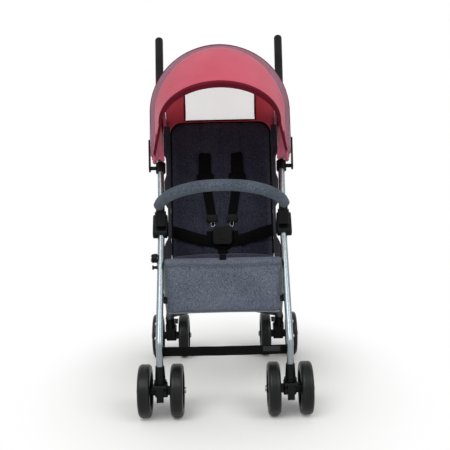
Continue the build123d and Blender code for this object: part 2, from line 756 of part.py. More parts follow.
# Buckle with its press button, the waist straps and the crotch strap.
buckle_outline = Pos(0, buckle_at) * RectangleRounded(buckle_width, buckle_height, buckle_width / 5)
buckle = flat(buckle_outline, buckle_thickness)
buckle = fillet(buckle.faces().sort_by(Axis.Y)[0].edges(), 3.0)
button_pocket = Pos(0, buckle_at) * RectangleRounded(
    buckle_button + 2 * run_gap, buckle_button + 2 * run_gap, buckle_button / 4
)
buckle -= Pos(*(back_frame.y_dir * (buckle_thickness - buckle_button_depth))) * flat(button_pocket, buckle_thickness)
press = Pos(0, buckle_at) * RectangleRounded(buckle_button, buckle_button, buckle_button / 4)
press_low = buckle_thickness - buckle_button_depth + 3.5
press_button = Pos(*(back_frame.y_dir * press_low)) * flat(press, buckle_thickness + buckle_button_proud - press_low)
waist_end = wing_out - wing_thickness - cloth_gap
waist_line = make_face(Polyline(
    (buckle_width / 2 + cloth_gap, buckle_at - waist_width / 3), (waist_end, buckle_at + waist_rise - waist_width / 2),
    (waist_end, buckle_at + waist_rise + waist_width / 2), (buckle_width / 2 + cloth_gap, buckle_at + waist_width / 3),
    close=True,
))
waist = flat(waist_line, waist_thickness)
strap_mid = strap_level + strap_thickness / 2
seat_level = seat_crown + cloth_gap + strap_thickness / 2
crotch_top = back_point(buckle_at - buckle_height / 2 - cloth_gap, strap_mid)
crotch_turn = back_frame.origin + seat_along * strap_mid + back_frame.z_dir * seat_level
crotch_line = Polyline(crotch_top, (crotch_turn.Y, crotch_turn.Z), seat_point(crotch_reach, seat_level))
crotch = across(trace(crotch_line, strap_thickness), 0, strap_width)

# Bumper bar: an arched core with a plug at each end, inside a padded sleeve.
bumper_plane = Plane(
    origin=(0, bumper_front, bumper_z), x_dir=(1, 0, 0),
    z_dir=Vector(1, 0, 0).cross(Vector(0, cos(radians(bumper_slope)), -sin(radians(bumper_slope)))),
)
arch = bumper_plane * ThreePointArc((-bumper_half, bumper_sag), (0, 0), (bumper_half, bumper_sag))
arch_start = Plane(origin=arch @ 0, z_dir=arch % 0)
sleeve_core = sweep(arch_start * Circle(sleeve_radius), path=arch)
core_rod = sweep(arch_start * Circle(core_radius), path=arch)
sleeve = sleeve_core - core_rod
arch_end = arch @ 1
plug_low = socket_top + play
plug_top = arch_end.Z + core_radius
plug = rod(Vector(foot_half, socket_y, plug_low), Vector(foot_half, socket_y, plug_top), knuckle_radius)
plug += rod(arch_end, Vector(foot_half, socket_y, arch_end.Z), core_radius)
plug += Pos(foot_half, socket_y, plug_low + housing_edge) * Box(
    prong_width, prong_depth, prong_length + housing_edge, align=(Align.CENTER, Align.CENTER, Align.MAX)
)
plug -= sleeve_core
plug = plug.solids().sort_by(SortBy.VOLUME)[-1]
core = core_rod + plug + other_side(plug)

# Foot strap: webbing behind both legs, with its ends round the back of each tube.
strap_back = swivel_y + tube_radius + cloth_gap
strap_ring = Pos(foot_half, swivel_y, foot_strap_low) * Cylinder(
    tube_radius + cloth_gap + foot_strap_thickness, foot_strap_height,
    align=(Align.CENTER, Align.CENTER, Align.MIN),
)
strap_ring &= Pos(foot_half, swivel_y, foot_strap_low) * Box(
    4 * tube_radius, 4 * tube_radius, 3 * foot_strap_height, align=(Align.CENTER, Align.MIN, Align.CENTER)
)
strap_band = Pos(0, strap_back, foot_strap_low) * Box(
    2 * foot_half, foot_strap_thickness, foot_strap_height, align=(Align.CENTER, Align.MIN, Align.MIN)
)
leg_way = Pos(foot_half, swivel_y, foot_strap_low) * Cylinder(tube_radius + cloth_gap, 3 * foot_strap_height)
foot_strap = strap_band + strap_ring + other_side(strap_ring) - leg_way - other_side(leg_way)

# Canopy panels: one arched section turned about the clamp studs, each panel a step inside the last.
canopy_axis = Axis((0, canopy_at.Y, canopy_at.Z), (1, 0, 0))


def canopy_plane(angle):
    up = Vector(0, -sin(radians(angle)), cos(radians(angle)))
    return Plane(origin=(0, canopy_at.Y, canopy_at.Z), x_dir=(1, 0, 0), z_dir=Vector(1, 0, 0).cross(up))


def arch_line(inset):
    low = canopy_half - inset
    shoulder_x = canopy_shoulder - inset
    return low, shoulder_x, canopy_spring, canopy_spring + shoulder_x


def front_line(inset):
    shoulder_x = visor_shoulder - inset
    return canopy_half - inset, shoulder_x, visor_spring, visor_spring + shoulder_x


def arch_face(outer, inner):
    low, wide, spring, apex = outer
    low_in, wide_in, spring_in, apex_in = inner
    return make_face([
        Polyline((wide, spring), (low, canopy_start), (low_in, canopy_start), (wide_in, spring_in)),
        ThreePointArc((wide_in, spring_in), (0, apex_in), (-wide_in, spring_in)),
        Polyline((-wide_in, spring_in), (-low_in, canopy_start), (-low, canopy_start), (-wide, spring)),
        ThreePointArc((-wide, spring), (0, apex), (wide, spring)),
    ])


def canopy_panel(start, end, inset):
    section = arch_face(arch_line(inset), arch_line(inset + panel_thickness))
    return revolve(canopy_plane(end) * section, canopy_axis, start - end)


def quarter(line, side):
    low, wide, spring, apex = line
    bend = sin(radians(45)) * wide
    return side * low, side * wide, side * bend, spring, spring + bend, apex


def half_face(outer, inner, side):
    low, wide, bend, spring, bend_up, apex = quarter(outer, side)
    low_in, wide_in, bend_in, spring_in, bend_up_in, apex_in = quarter(inner, side)
    return make_face([
        Line((low, canopy_start), (wide, spring)),
        ThreePointArc((wide, spring), (bend, bend_up), (0, apex)),
        Line((0, apex), (0, apex_in)),
        ThreePointArc((0, apex_in), (bend_in, bend_up_in), (wide_in, spring_in)),
        Line((wide_in, spring_in), (low_in, canopy_start)),
        Line((low_in, canopy_start), (low, canopy_start)),
    ])


def between(first, last, share):
    return tuple(a + (b - a) * share for a, b in zip(first, last))


def visor_half(side):
    sections = []
    for step in range(visor_steps + 1):
        share = step / visor_steps
        outer = between(arch_line(0), front_line(0), share)
        inner = between(arch_line(panel_thickness), front_line(panel_thickness), share)
        angle = visor_back + (visor_front - visor_back) * share
        sections.append(canopy_plane(angle) * half_face(outer, inner, side).face())
    return loft(sections, ruled=True)


visor = visor_half(1) + visor_half(-1)
mid_panel = canopy_panel(visor_back - 0.2, mid_back, panel_step)
rear_inset = 2 * panel_step
rear_panel = canopy_panel(mid_back - 0.2, rear_back, rear_inset)

# Rear curtain with its clear window, from the last arch down behind the backrest.


def curtain_arc(inset, half):
    low, wide, spring, apex = arch_line(inset)
    return ThreePointArc(
        (-half, spring + sqrt(wide * wide - half * half)), (0, apex),
        (half, spring + sqrt(wide * wide - half * half)),
    )


curtain_out = curtain_arc(rear_inset, curtain_half)
curtain_in = curtain_arc(rear_inset + panel_thickness, curtain_half)
curtain_top = make_face([
    curtain_out, Line(curtain_out @ 1, curtain_in @ 1), curtain_in, Line(curtain_in @ 0, curtain_out @ 0),
])
low_plane = Plane(origin=(0, curtain_y, canopy_z + curtain_low), x_dir=(1, 0, 0), z_dir=(0, 0, -1))
curtain_hem = Rectangle(2 * curtain_low_half, panel_thickness)
curtain = loft([canopy_plane(rear_back) * curtain_top.face(), low_plane * curtain_hem.face()], ruled=True)
window_arch = canopy_spring + sqrt((canopy_shoulder - rear_inset) ** 2 - window_half ** 2)
window_high = window_arch * cos(radians(rear_back)) - window_drop
window_line = Pos(0, canopy_z + (window_low + window_high) / 2) * RectangleRounded(
    2 * window_half, window_high - window_low, window_corner
)
window_cut = extrude(Plane(origin=(0, curtain_y, 0), x_dir=(1, 0, 0), z_dir=(0, -1, 0)) * window_line, 120, both=True)
window = curtain & window_cut
rear_cover = rear_panel + (curtain - window_cut)

# Front bow: a sprung wire inside the visor, held by an arm with an eye on each clamp stud.
bow_inset = panel_thickness + play + bow_arm + bow_sink
bow_share = 1 - bow_set_back / (visor_front - visor_back)
low, wide, spring, apex = between(arch_line(bow_inset), front_line(bow_inset), bow_share)
bow_frame = canopy_plane(visor_front - bow_set_back)
bow_ring = Pos(0, spring) * Torus(wide, bow_radius) & Pos(0, spring - bow_arm) * Box(
    3 * wide, 3 * wide, 3 * wide, align=(Align.CENTER, Align.MIN, Align.CENTER)
)
bow = bow_frame * bow_ring
for side in (-1, 1):
    arm_low = bow_frame.from_local_coords(Vector(side * low, 0, 0))
    arm_top = bow_frame.from_local_coords(Vector(side * wide, spring, 0))
    bow += rod(arm_low, arm_top, bow_arm)
    eye_at = Vector(side * low, canopy_at.Y, canopy_at.Z)
    half_eye = Vector(bow_arm, 0, 0)
    bow += rod(eye_at - half_eye, eye_at + half_eye, bow_eye)
    bow -= rod(eye_at - half_eye * 4, eye_at + half_eye * 4, canopy_pin + run_gap)

keep_pair("front_leg", front_leg)
keep_pair("push_tube", push_tube)
keep_pair("grip", grip)
keep_pair("hinge_housing", housing)
keep_pair("bumper_socket", socket)
keep_pair("bumper_button", button)
keep_pair("foot_socket", foot_socket)
keep("right_frame_pins", hinge_pin, swivel_pin, *rivets)
keep("left_frame_pins", *[other_side(item) for item in (hinge_pin, swivel_pin, *rivets, latch_rivet)])
keep("right_rear_leg", rear_leg)
keep("left_rear_leg", other_side(left_rear_leg))
keep("right_rear_block", right_block)
keep("left_rear_block", other_side(left_block))
keep_pair("brake_pedal", pedal)
keep("right_brace_bar", right_bar)
keep("left_brace_bar", other_side(left_bar))
keep("right_brace_collar", right_collar)
keep("left_brace_collar", other_side(left_collar))
keep_pair("caster", caster)
keep_pair("swivel_lock", lock)
keep_pair("front_tyres", *wheel_pair(front_axle, tyre))
keep_pair("front_hubs", *wheel_pair(front_axle, hub))
keep_pair("front_axle", axle_rod(front_axle))
keep_pair("rear_tyres", *wheel_pair(rear_axle, tyre))
keep_pair("rear_hubs", *wheel_pair(rear_axle, hub))
keep_pair("rear_axle", axle_rod(rear_axle))
keep_pair("canopy_clamp", clamp)
keep("storage_latch", other_side(latch))
keep("seat", seat)
keep("backrest", backrest)
keep("calf_rest", calf_rest)
keep("shoulder_harness", shoulder, other_side(shoulder))
keep("lap_harness", waist, other_side(waist), crotch)
keep("buckle", buckle)
keep("buckle_button", press_button)
keep("bumper_core", core)
keep("bumper_sleeve", sleeve)
keep("foot_strap", foot_strap)
keep("canopy_visor", visor)
keep("canopy_mid", mid_panel)
keep("canopy_rear", rear_cover)
keep("canopy_window", window)
keep("canopy_bow", bow)

os.makedirs("parts", exist_ok=True)
for name, shape in pieces.items():
    export_step(shape, "parts/" + name + ".step")
    print(name, len(shape.solids()), round(sum(solid.volume for solid in shape.solids())))
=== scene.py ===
from math import sin, cos, pi, radians, exp, hypot, atan2, copysign
import bpy
import bmesh
from mathutils import Matrix, Vector, noise


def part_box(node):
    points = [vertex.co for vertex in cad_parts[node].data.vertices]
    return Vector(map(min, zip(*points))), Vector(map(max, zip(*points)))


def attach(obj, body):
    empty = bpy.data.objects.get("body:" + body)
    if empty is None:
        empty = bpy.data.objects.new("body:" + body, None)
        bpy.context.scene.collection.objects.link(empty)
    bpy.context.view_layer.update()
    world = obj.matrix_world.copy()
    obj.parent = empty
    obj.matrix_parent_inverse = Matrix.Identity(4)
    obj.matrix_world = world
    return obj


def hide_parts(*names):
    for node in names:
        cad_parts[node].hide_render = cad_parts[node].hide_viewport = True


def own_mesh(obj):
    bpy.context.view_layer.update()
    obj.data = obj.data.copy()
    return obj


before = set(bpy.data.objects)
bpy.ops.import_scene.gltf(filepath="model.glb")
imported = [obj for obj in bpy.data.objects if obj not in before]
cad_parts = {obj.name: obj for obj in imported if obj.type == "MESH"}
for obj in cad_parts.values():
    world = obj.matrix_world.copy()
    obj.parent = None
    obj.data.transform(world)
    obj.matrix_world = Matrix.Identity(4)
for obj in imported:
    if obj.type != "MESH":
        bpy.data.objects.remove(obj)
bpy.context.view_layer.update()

scene = bpy.context.scene
scene.view_settings.view_transform = "Standard"
print("frame loaded, nodes:", len(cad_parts))


# materials

def toLinear(level):  # 0-255 screen value
    level /= 255
    return level / 12.92 if level < 0.0405 else ((level + 0.055) / 1.055) ** 2.4


def srgb(r, g, b):
    return toLinear(r), toLinear(g), toLinear(b), 1.0


def startMaterial(name):
    mat = bpy.data.materials.new(name)
    mat.use_nodes = True
    tree = mat.node_tree
    return mat, tree.nodes, tree.links, tree.nodes["Principled BSDF"]


def objectSpace(nodes, links, scale=(1, 1, 1), turn=(0, 0, 0)):
    coord = nodes.new("ShaderNodeTexCoord")
    place = nodes.new("ShaderNodeMapping")
    place.inputs["Scale"].default_value = scale
    place.inputs["Rotation"].default_value = turn
    links.new(coord.outputs["Object"], place.inputs["Vector"])
    return place.outputs["Vector"]


def noiseTex(nodes, links, vector, scale, detail=2.0):
    tex = nodes.new("ShaderNodeTexNoise")
    tex.inputs["Scale"].default_value = scale
    tex.inputs["Detail"].default_value = detail
    links.new(vector, tex.inputs["Vector"])
    return tex.outputs[0]


def waveTex(nodes, links, vector, scale, direction, distortion=0.0):
    tex = nodes.new("ShaderNodeTexWave")
    tex.bands_direction = direction
    tex.inputs["Scale"].default_value = scale
    tex.inputs["Distortion"].default_value = distortion
    links.new(vector, tex.inputs["Vector"])
    return tex.outputs["Fac"]


def mathNode(nodes, links, operation, a, b):
    node = nodes.new("ShaderNodeMath")
    node.operation = operation
    for socket, value in zip(node.inputs, (a, b)):
        if isinstance(value, (int, float)):
            socket.default_value = value
        else:
            links.new(value, socket)
    return node.outputs[0]


def ramp(nodes, links, fac, stops):
    node = nodes.new("ShaderNodeValToRGB")
    band = node.color_ramp.elements
    band[0].position, band[0].color = stops[0]
    band[1].position, band[1].color = stops[-1]
    for position, colour in stops[1:-1]:
        band.new(position).color = colour
    links.new(fac, node.inputs["Fac"])
    return node.outputs["Color"]


def bump(nodes, links, shader, height, distance, strength=1.0):
    node = nodes.new("ShaderNodeBump")
    node.inputs["Distance"].default_value = distance
    node.inputs["Strength"].default_value = strength
    links.new(height, node.inputs["Height"])
    links.new(node.outputs["Normal"], shader.inputs["Normal"])


def melange(name, dark, mid, light, rough=0.85, streak=(1, 1, 0.3)):  # heathered woven cloth
    mat, nodes, links, shader = startMaterial(name)
    flecks = noiseTex(nodes, links, objectSpace(nodes, links, streak), 700, 3)
    fine = noiseTex(nodes, links, objectSpace(nodes, links, (0.35, 0.35, 1)), 1300, 2)
    cloud = noiseTex(nodes, links, objectSpace(nodes, links), 14, 2)
    mixed = mathNode(nodes, links, "MULTIPLY_ADD", fine, 0.5)
    links.new(flecks, mixed.node.inputs[2])
    shade = mathNode(nodes, links, "MULTIPLY_ADD", cloud, 0.2)
    links.new(mixed, shade.node.inputs[2])
    level = mathNode(nodes, links, "MULTIPLY", shade, 0.55)
    tone = ramp(nodes, links, level, [(0.34, dark), (0.47, mid), (0.62, light)])
    links.new(tone, shader.inputs["Base Color"])
    weave = objectSpace(nodes, links)
    warp = waveTex(nodes, links, weave, 260, "X")
    weft = waveTex(nodes, links, weave, 260, "Z")
    threads = mathNode(nodes, links, "MULTIPLY", warp, weft)
    bump(nodes, links, shader, mathNode(nodes, links, "ADD", threads, flecks), 0.0006, 0.4)
    shader.inputs["Roughness"].default_value = rough
    shader.inputs["Sheen Weight"].default_value = 0.08
    shader.inputs["Specular IOR Level"].default_value = 0.08
    return mat


def plainCloth(name, colour, lighter, rough=0.7, sheen=0.25):  # tight smooth weave
    mat, nodes, links, shader = startMaterial(name)
    cloud = noiseTex(nodes, links, objectSpace(nodes, links), 9, 3)
    links.new(ramp(nodes, links, cloud, [(0.35, colour), (0.7, lighter)]), shader.inputs["Base Color"])
    space = objectSpace(nodes, links)
    warp = waveTex(nodes, links, space, 420, "X")
    weft = waveTex(nodes, links, space, 420, "DIAGONAL")
    bump(nodes, links, shader, mathNode(nodes, links, "MULTIPLY", warp, weft), 0.0004, 0.4)
    shader.inputs["Roughness"].default_value = rough
    shader.inputs["Sheen Weight"].default_value = sheen
    shader.inputs["Sheen Roughness"].default_value = 0.4
    shader.inputs["Specular IOR Level"].default_value = 0.12
    return mat


def webCloth(name, colour, lighter):  # ribbed strap webbing
    mat, nodes, links, shader = startMaterial(name)
    space = objectSpace(nodes, links)
    ribs = waveTex(nodes, links, space, 190, "Z", 0.4)
    threads = noiseTex(nodes, links, space, 1100, 2)
    both = mathNode(nodes, links, "MULTIPLY", ribs, threads)
    links.new(ramp(nodes, links, both, [(0.15, colour), (0.7, lighter)]), shader.inputs["Base Color"])
    bump(nodes, links, shader, both, 0.0008, 0.6)
    shader.inputs["Roughness"].default_value = 0.8
    shader.inputs["Specular IOR Level"].default_value = 0.08
    return mat


def moulded(name, colour, lighter, rough, grain=700, depth=0.0003, gloss=0.2):  # plastic and rubber
    mat, nodes, links, shader = startMaterial(name)
    space = objectSpace(nodes, links)
    cloud = noiseTex(nodes, links, space, 30, 4)
    links.new(ramp(nodes, links, cloud, [(0.35, colour), (0.75, lighter)]), shader.inputs["Base Color"])
    pits = noiseTex(nodes, links, space, grain, 2)
    bump(nodes, links, shader, pits, depth, 0.35)
    wear = nodes.new("ShaderNodeMapRange")
    wear.inputs["To Min"].default_value = rough - 0.07
    wear.inputs["To Max"].default_value = rough + 0.07
    links.new(cloud, wear.inputs["Value"])
    links.new(wear.outputs["Result"], shader.inputs["Roughness"])
    shader.inputs["Specular IOR Level"].default_value = gloss
    return mat


def metal(name, colour, lighter, rough, along=(1, 1, 0.02)):  # drawn along the tube
    mat, nodes, links, shader = startMaterial(name)
    draw = noiseTex(nodes, links, objectSpace(nodes, links, along, (radians(35), 0, 0)), 260, 3)
    links.new(ramp(nodes, links, draw, [(0.3, colour), (0.75, lighter)]), shader.inputs["Base Color"])
    spread = nodes.new("ShaderNodeMapRange")
    spread.inputs["To Min"].default_value = rough - 0.05
    spread.inputs["To Max"].default_value = rough + 0.08
    links.new(draw, spread.inputs["Value"])
    links.new(spread.outputs["Result"], shader.inputs["Roughness"])
    shader.inputs["Metallic"].default_value = 1.0
    bump(nodes, links, shader, draw, 0.0001, 0.2)
    return mat


def film(name):  # clear window film
    mat, nodes, links, shader = startMaterial(name)
    haze = noiseTex(nodes, links, objectSpace(nodes, links), 22, 3)
    tint = ramp(nodes, links, haze, [(0.3, srgb(226, 229, 228)), (0.7, srgb(240, 241, 240))])
    links.new(tint, shader.inputs["Base Color"])
    bump(nodes, links, shader, haze, 0.006, 0.5)
    shader.inputs["Roughness"].default_value = 0.12
    shader.inputs["Alpha"].default_value = 0.2
    return mat


silver = metal("silverTube", srgb(122, 131, 135), srgb(152, 161, 165), 0.3)
greyTube = metal("greyTube", srgb(92, 102, 105), srgb(120, 130, 133), 0.4)
steel = metal("steel", srgb(140, 142, 144), srgb(188, 190, 192), 0.25, (1, 1, 1))
blackPlastic = moulded("blackPlastic", srgb(7, 8, 9), srgb(15, 16, 17), 0.4, gloss=0.13)
gripRubber = moulded("gripRubber", srgb(8, 9, 9), srgb(16, 17, 17), 0.55, 900, 0.0005, 0.15)
tyreRubber = moulded("tyreRubber", srgb(7, 9, 9), srgb(15, 17, 17), 0.36, 1200, 0.0002, 0.25)
hubPlastic = moulded("hubPlastic", srgb(8, 9, 9), srgb(16, 17, 17), 0.33)
seatCloth = melange("seatCloth", srgb(27, 28, 37), srgb(45, 47, 61), srgb(80, 83, 98))
calfCloth = melange("calfCloth", srgb(55, 60, 70), srgb(89, 95, 108), srgb(128, 133, 145))
bumperCloth = melange("bumperCloth", srgb(44, 52, 61), srgb(72, 81, 92), srgb(116, 123, 134))
strapBlack = webCloth("strapBlack", srgb(4, 4, 5), srgb(17, 17, 18))
patchCloth = webCloth("patchCloth", srgb(34, 35, 37), srgb(70, 71, 73))
visorPink = plainCloth("visorPink", srgb(192, 82, 99), srgb(199, 92, 110))
canopyMauve = melange("canopyMauve", srgb(112, 66, 84), srgb(145, 94, 113), srgb(180, 136, 153),
                      0.8, (0.3, 1, 1))
# lining: the pink of the inner face, brightened past the cloth's own colour; the extra brightness is painted light
# standing in for light that comes through the thin cloth
lining = plainCloth("lining", srgb(222, 84, 100), srgb(230, 98, 114), 0.8, 0.1)
maroonTape = webCloth("maroonTape", srgb(92, 16, 32), srgb(128, 34, 52))
darkPiping = webCloth("darkPiping", srgb(5, 5, 6), srgb(16, 16, 18))
palePiping = webCloth("palePiping", srgb(118, 124, 132), srgb(164, 169, 176))
tailPink = plainCloth("tailPink", srgb(190, 88, 108), srgb(206, 112, 134))
clearFilm = film("clearFilm")

slotLooks = {
    "silver_tube": silver, "grey_tube": greyTube, "steel": steel, "black_plastic": blackPlastic,
    "grip_rubber": gripRubber, "tyre": tyreRubber, "hub_plastic": hubPlastic,
}
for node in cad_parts.values():
    for place in node.material_slots:
        place.material = slotLooks.get(place.material.name.split(".")[0], blackPlastic)
print("materials done")


# helpers for new pieces

def addMesh(name, bm, *mats):
    bmesh.ops.recalc_face_normals(bm, faces=bm.faces)
    mesh = bpy.data.meshes.new(name)
    bm.to_mesh(mesh)
    bm.free()
    for mat in mats:
        mesh.materials.append(mat)
    mesh.shade_smooth()
    obj = bpy.data.objects.new(name, mesh)
    scene.collection.objects.link(obj)
    return obj


def bake(obj):  # modifiers into the mesh
    bpy.context.view_layer.update()
    graph = bpy.context.evaluated_depsgraph_get()
    done = bpy.data.meshes.new_from_object(obj.evaluated_get(graph))
    obj.modifiers.clear()
    obj.data = done
    done.shade_smooth()
    return obj


def thicken(obj, thickness, offset=0.0, inside=0):
    wall = obj.modifiers.new("wall", "SOLIDIFY")
    wall.thickness = thickness
    wall.offset = offset
    wall.material_offset = inside
    return obj


def smoother(obj, levels=1):
    sub = obj.modifiers.new("smooth", "SUBSURF")
    sub.levels = levels
    sub.render_levels = levels
    return obj


def tube(name, points, radius, mat, closed=False, kind="NURBS"):
    curve = bpy.data.curves.new(name, "CURVE")
    curve.dimensions = "3D"
    curve.bevel_depth = radius
    curve.bevel_resolution = 4
    curve.use_fill_caps = True
    spline = curve.splines.new(kind)
    spline.points.add(len(points) - 1)
    for place, point in zip(spline.points, points):
        place.co = (*point, 1.0)
    spline.use_cyclic_u = closed
    if kind == "NURBS":
        spline.order_u = 3
        spline.use_endpoint_u = True
    carrier = bpy.data.objects.new(name, curve)
    mesh = bpy.data.meshes.new_from_object(carrier)
    bpy.data.objects.remove(carrier)
    mesh.materials.clear()
    mesh.materials.append(mat)
    mesh.shade_smooth()
    obj = bpy.data.objects.new(name, mesh)
    scene.collection.objects.link(obj)
    return obj


# share of the width that is left when the frame is folded
narrow = {"back": 0.44, "seat": 0.37, "calf": 0.41, "wing": 0.375, "canopy": 0.535, "curtain": 0.42, "foot": 0.438}
tags = {-1: "L", 1: "R"}


def fasten(obj, body, keep=None):  # rides a body; with keep, the piece gets a mesh of its own
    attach(obj, body)
    if keep:
        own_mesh(obj)
    return obj


def softStep(low, high, value):
    t = min(max((value - low) / (high - low), 0.0), 1.0)
    return t * t * (3 - 2 * t)


clothFrames = 20


def swell(obj, cap, pressure=4.0):  # cloth pressure, each point moves at most cap
    cloth = obj.modifiers.new("cloth", "CLOTH")
    cloth.settings.use_pressure = True
    cloth.settings.uniform_pressure_force = pressure
    cloth.settings.effector_weights.gravity = 0
    cloth.point_cache.frame_start = 1
    cloth.point_cache.frame_end = clothFrames
    for step in range(1, clothFrames + 1):
        scene.frame_set(step)
    graph = bpy.context.evaluated_depsgraph_get()
    puffed = bpy.data.meshes.new_from_object(obj.evaluated_get(graph))
    obj.modifiers.clear()
    for vert, new in zip(obj.data.vertices, puffed.vertices):
        move = new.co - vert.co
        if move.length > cap:
            move *= cap / move.length
        vert.co += move
    bpy.data.meshes.remove(puffed)
    scene.frame_set(1)
    return obj


def remesh(obj, size):
    grid = obj.modifiers.new("grid", "REMESH")
    grid.mode = "VOXEL"
    grid.voxel_size = size
    return bake(obj)


# places taken from the CAD

bight = Vector((0, 0.060, 0.372))
backUp = Vector((0, sin(radians(14.2)), cos(radians(14.2))))
backOut = Vector((0, -backUp.z, backUp.y))
seatEnd = Vector((0, -0.168, 0.416))
seatAlong = (seatEnd - bight).normalized()
seatOut = Vector((0, seatAlong.z, -seatAlong.y))
calfDown = Vector((0, -sin(radians(4)), -cos(radians(4))))
calfOut = Vector((0, calfDown.z, -calfDown.y))
canopyAxis = Vector((0, 0.03198, 0.669))


def frameOf(origin, along, out):  # x across, y along, z out
    across = along.cross(out)
    return Matrix.Translation(origin) @ Matrix((across, along, out)).transposed().to_4x4()


backFrame = frameOf(bight, backUp, backOut)
seatFrame = frameOf(bight, seatAlong, seatOut)
calfFrame = frameOf(seatEnd, calfDown, calfOut)


# pads

def rising(edge):
    return abs(edge.verts[0].co.z - edge.verts[1].co.z) > 1e-4


def roundOff(bm, edges, offset, segments):
    bmesh.ops.bevel(bm, geom=edges, offset=offset, offset_type="OFFSET", segments=segments,
                    profile=0.5, affect="EDGES", material=-1)


def slab(place, half, start, end, low, high, corner):  # rounded far corners
    bm = bmesh.new()
    bmesh.ops.create_cube(bm, size=1.0)
    bmesh.ops.scale(bm, vec=(2 * half, end - start, high - low), verts=bm.verts)
    bmesh.ops.translate(bm, vec=(0, (start + end) / 2, (low + high) / 2), verts=bm.verts)
    roundOff(bm, [e for e in bm.edges if rising(e) and e.verts[0].co.y > (start + end) / 2], corner, 8)
    roundOff(bm, [e for e in bm.edges if not rising(e)], (high - low) * 0.35, 3)
    bmesh.ops.transform(bm, matrix=place, verts=bm.verts)
    return bm


def crown(obj, place, half, start, end, rise, lift):  # raises the middle of the outer face
    inverse = place.inverted()
    for vert in obj.data.vertices:
        p = inverse @ vert.co
        arc = sin(pi * min(max((p.y - start) / (end - start), 0), 1))
        out = softStep(-0.002, 0.006, p.z)
        bow = (1 - (p.x / half) ** 2) * rise + lift * arc
        pull = 0.0015 * arc * (p.x / half)  # sides draw in between the corners
        vert.co = place @ Vector((p.x - pull, p.y, p.z + out * bow))


def channel(obj, place, lines, depth, width):  # sewn lines pressed into the outer face
    inverse = place.inverted()
    for vert in obj.data.vertices:
        p = inverse @ vert.co
        if p.z > 0.003:
            dip = max(exp(-((p.x - x) / width) ** 2) for x in lines)
            vert.co = place @ Vector((p.x, p.y, p.z - depth * dip))


back = {"half": 0.1635, "start": 0.004, "end": 0.445, "low": -0.004, "high": 0.010, "corner": 0.042}
backPad = addMesh("backPad", slab(backFrame, *back.values()), seatCloth)
remesh(backPad, 0.005)
crown(backPad, backFrame, 0.165, 0.0, 0.448, 0.009, 0.001)
swell(backPad, 0.005)
channel(backPad, backFrame, (-0.066, 0.0, 0.066), 0.006, 0.006)
smoother(backPad)
fasten(backPad, "backrest", narrow["back"])
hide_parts("backrest")

backEdge = {"half": 0.1578, "end": 0.4405, "corner": 0.037, "rise": 0.0112, "radius": 0.0028}
rim = []
for side in (-1, 1):
    line = [(side * backEdge["half"], 0.02 + 0.38 * k / 10) for k in range(10)]
    for a in [pi / 2 * k / 8 for k in range(8, -1, -1)]:
        x = backEdge["half"] - backEdge["corner"] * (1 - sin(a))
        line.append((side * x, backEdge["end"] - backEdge["corner"] * (1 - cos(a))))
    rim += line if side < 0 else line[::-1]
rim = [backFrame @ Vector((x, along, backEdge["rise"])) for x, along in rim]
backPiping = tube("backPiping", rim, backEdge["radius"], darkPiping)
fasten(backPiping, "backrest", narrow["back"])

seat = {"half": 0.156, "start": 0.024, "end": 0.224, "low": -0.010, "high": 0.009, "corner": 0.012}
seatPad = addMesh("seatPad", slab(seatFrame, *seat.values()), seatCloth)
remesh(seatPad, 0.005)
crown(seatPad, seatFrame, 0.157, 0.02, 0.22, 0.008, 0.001)
swell(seatPad, 0.004)
smoother(seatPad)
fasten(seatPad, "seat_unit", narrow["seat"])
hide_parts("seat")

calf = {"half": 0.1655, "start": 0.004, "end": 0.149, "low": -0.005, "high": 0.007, "corner": 0.014}
bm = slab(calfFrame, *calf.values())
roll = {"radius": 0.0135, "length": 0.331}  # the cloth turns over the seat's front
bmesh.ops.create_cone(bm, cap_ends=True, segments=24, radius1=roll["radius"], radius2=roll["radius"],
                      depth=roll["length"], matrix=Matrix.Translation(seatEnd) @ Matrix.Rotation(pi / 2, 4, "Y"))
calfPad = addMesh("calfPad", bm, calfCloth)
remesh(calfPad, 0.005)
crown(calfPad, calfFrame, 0.162, 0.0, 0.152, 0.004, 0.001)
swell(calfPad, 0.004)
inverse = calfFrame.inverted()
for vert in calfPad.data.vertices:  # crease under the front edge
    p = inverse @ vert.co
    if p.z > 0.003:
        line = 0.017 + 0.004 * cos(p.x * 9)
        dip = exp(-((p.y - line) / 0.004) ** 2) * softStep(0.13, 0.05, abs(p.x + 0.03))
        vert.co = calfFrame @ Vector((p.x, p.y, p.z - 0.004 * dip))
smoother(calfPad)
fasten(calfPad, "calf_rest", narrow["calf"])
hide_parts("calf_rest")

hem = [(-0.158, 0.1475), (-0.09, 0.1462), (0.0, 0.1455), (0.09, 0.1462), (0.158, 0.1475)]
calfHem = tube("calfHem", [calfFrame @ Vector((x, along, 0.002)) for x, along in hem], 0.0027, palePiping)
fasten(calfHem, "calf_rest", narrow["calf"])
print("pads done")


# side wings of the seat cover

